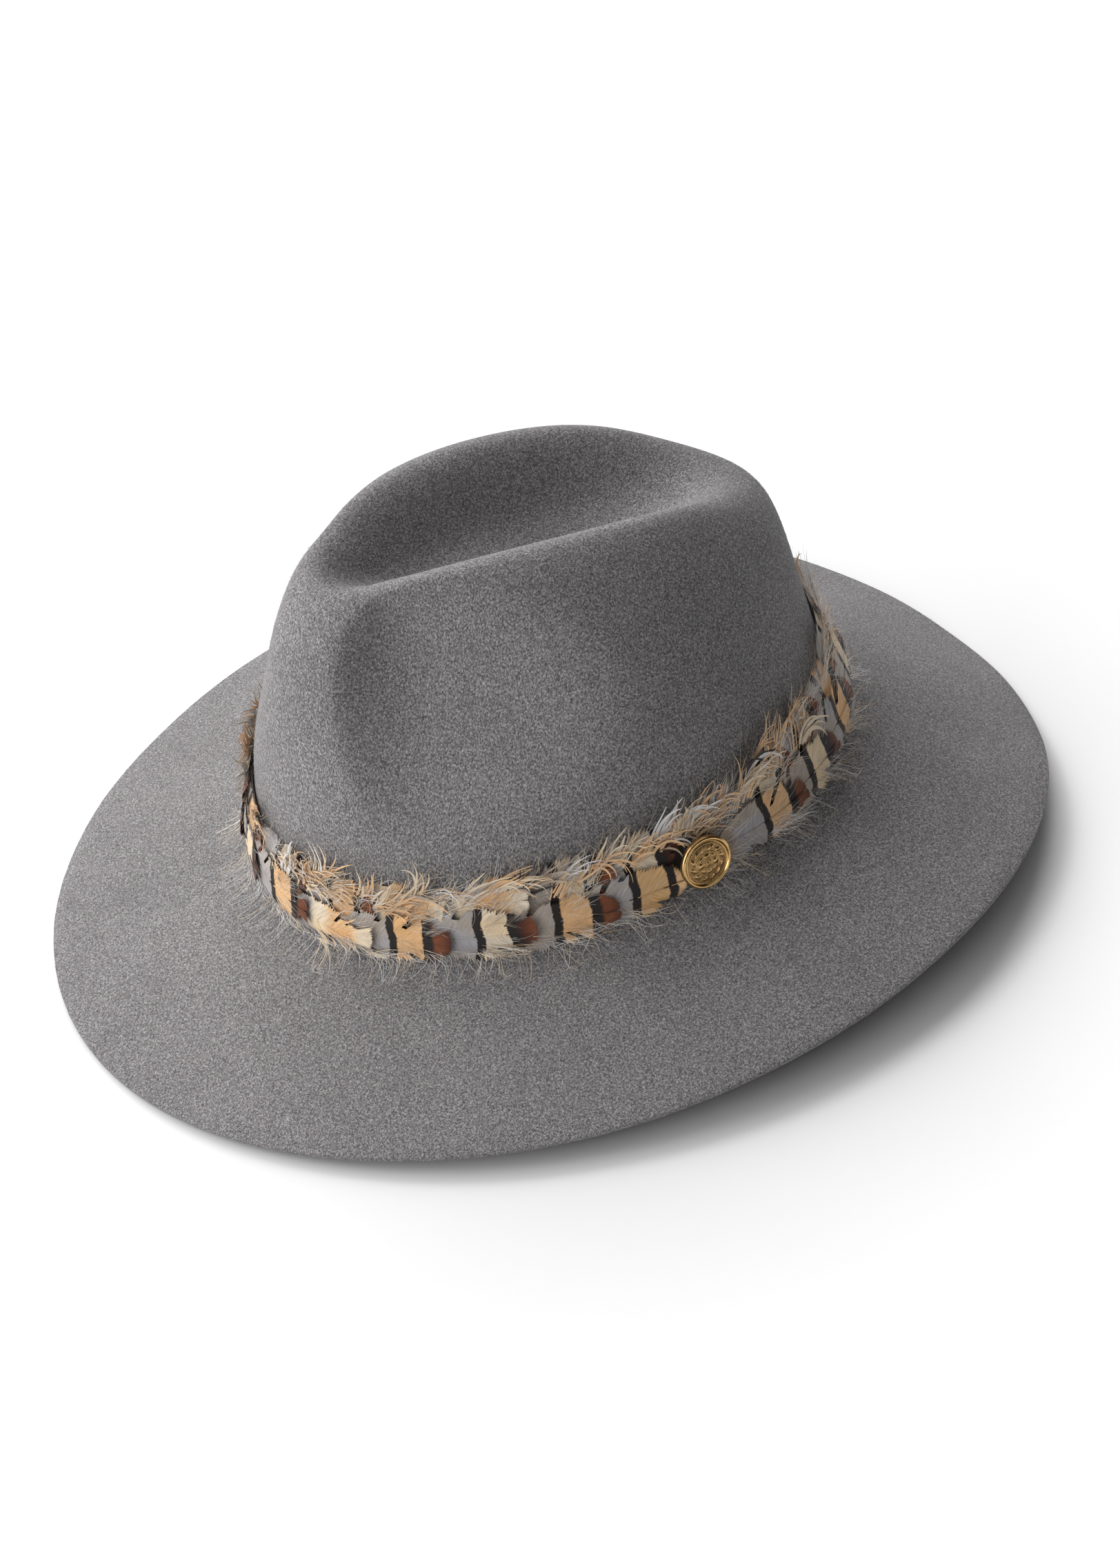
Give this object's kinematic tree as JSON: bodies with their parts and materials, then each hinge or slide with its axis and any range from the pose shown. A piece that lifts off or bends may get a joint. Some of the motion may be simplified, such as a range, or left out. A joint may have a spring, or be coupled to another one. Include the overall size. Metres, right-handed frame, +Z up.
{
  "type": "fedora hat",
  "caption": "Wide-brimmed grey felt fedora: teardrop crown with a centre dent and front pinches, raw-cut brim, barred feather hatband and a domed brass button.",
  "frame": {"origin": "centre of the bounding box in plan, on the surface the brim rests on", "axes": "+Z up; the wearer faces -Y; +X is the wearer's left, the side with the button"},
  "size_m": [0.29, 0.343, 0.1462],
  "materials": {
    "felt": "short napped wool felt",
    "lining_satin": "satin",
    "sweatband_leather": "smooth",
    "reed_plastic": "smooth",
    "bow_ribbon": "grosgrain",
    "band_ribbon": "grosgrain",
    "feather": "barred game-bird feather",
    "button_brass": "polished relief",
    "thread": "sewing thread"
  },
  "bodies": {
    "hat": {"felt_body": "felt", "lining_tip": "lining_satin", "lining_side": "lining_satin", "sweatband": "sweatband_leather", "sweatband_reed": "reed_plastic", "sweatband_bow": "bow_ribbon"},
    "feather_band": {"hatband_tape": "band_ribbon", "hatband_join_patch": "band_ribbon", "button_thread": "thread", "feather_upper_01": "feather", "feather_upper_02": "feather", "feather_upper_03": "feather", "feather_upper_04": "feather", "feather_upper_05": "feather", "feather_upper_06": "feather", "feather_upper_07": "feather", "feather_upper_08": "feather", "feather_upper_09": "feather", "feather_upper_10": "feather", "feather_upper_11": "feather", "feather_upper_12": "feather", "feather_upper_13": "feather", "feather_upper_14": "feather", "feather_upper_15": "feather", "feather_upper_16": "feather", "feather_upper_17": "feather", "feather_upper_18": "feather", "feather_upper_19": "feather", "feather_upper_20": "feather", "feather_upper_21": "feather", "feather_upper_22": "feather", "feather_lower_01": "feather", "feather_lower_02": "feather", "feather_lower_03": "feather", "feather_lower_04": "feather", "feather_lower_05": "feather", "feather_lower_06": "feather", "feather_lower_07": "feather", "feather_lower_08": "feather", "feather_lower_09": "feather", "feather_lower_10": "feather", "feather_lower_11": "feather", "feather_lower_12": "feather", "feather_lower_13": "feather", "feather_lower_14": "feather", "feather_lower_15": "feather", "feather_lower_16": "feather", "feather_lower_17": "feather", "feather_lower_18": "feather", "feather_lower_19": "feather", "feather_lower_20": "feather", "feather_lower_21": "feather", "feather_lower_22": "feather"},
    "button": {"button_front": "button_brass", "button_back": "button_brass", "button_shank": "button_brass"}
  },
  "joints": [
    {"name": "band_lift", "type": "slide", "parent": "hat", "child": "feather_band", "axis": [0, 0, 1], "range_m": [0, 0.12]},
    {"name": "button_turn", "type": "hinge", "parent": "feather_band", "child": "button", "pos_m": [0.08186, 0.01, 0.05005], "axis": [0.9847, 0.052, 0.1662], "range_deg": [-25, 25]}
  ]
}
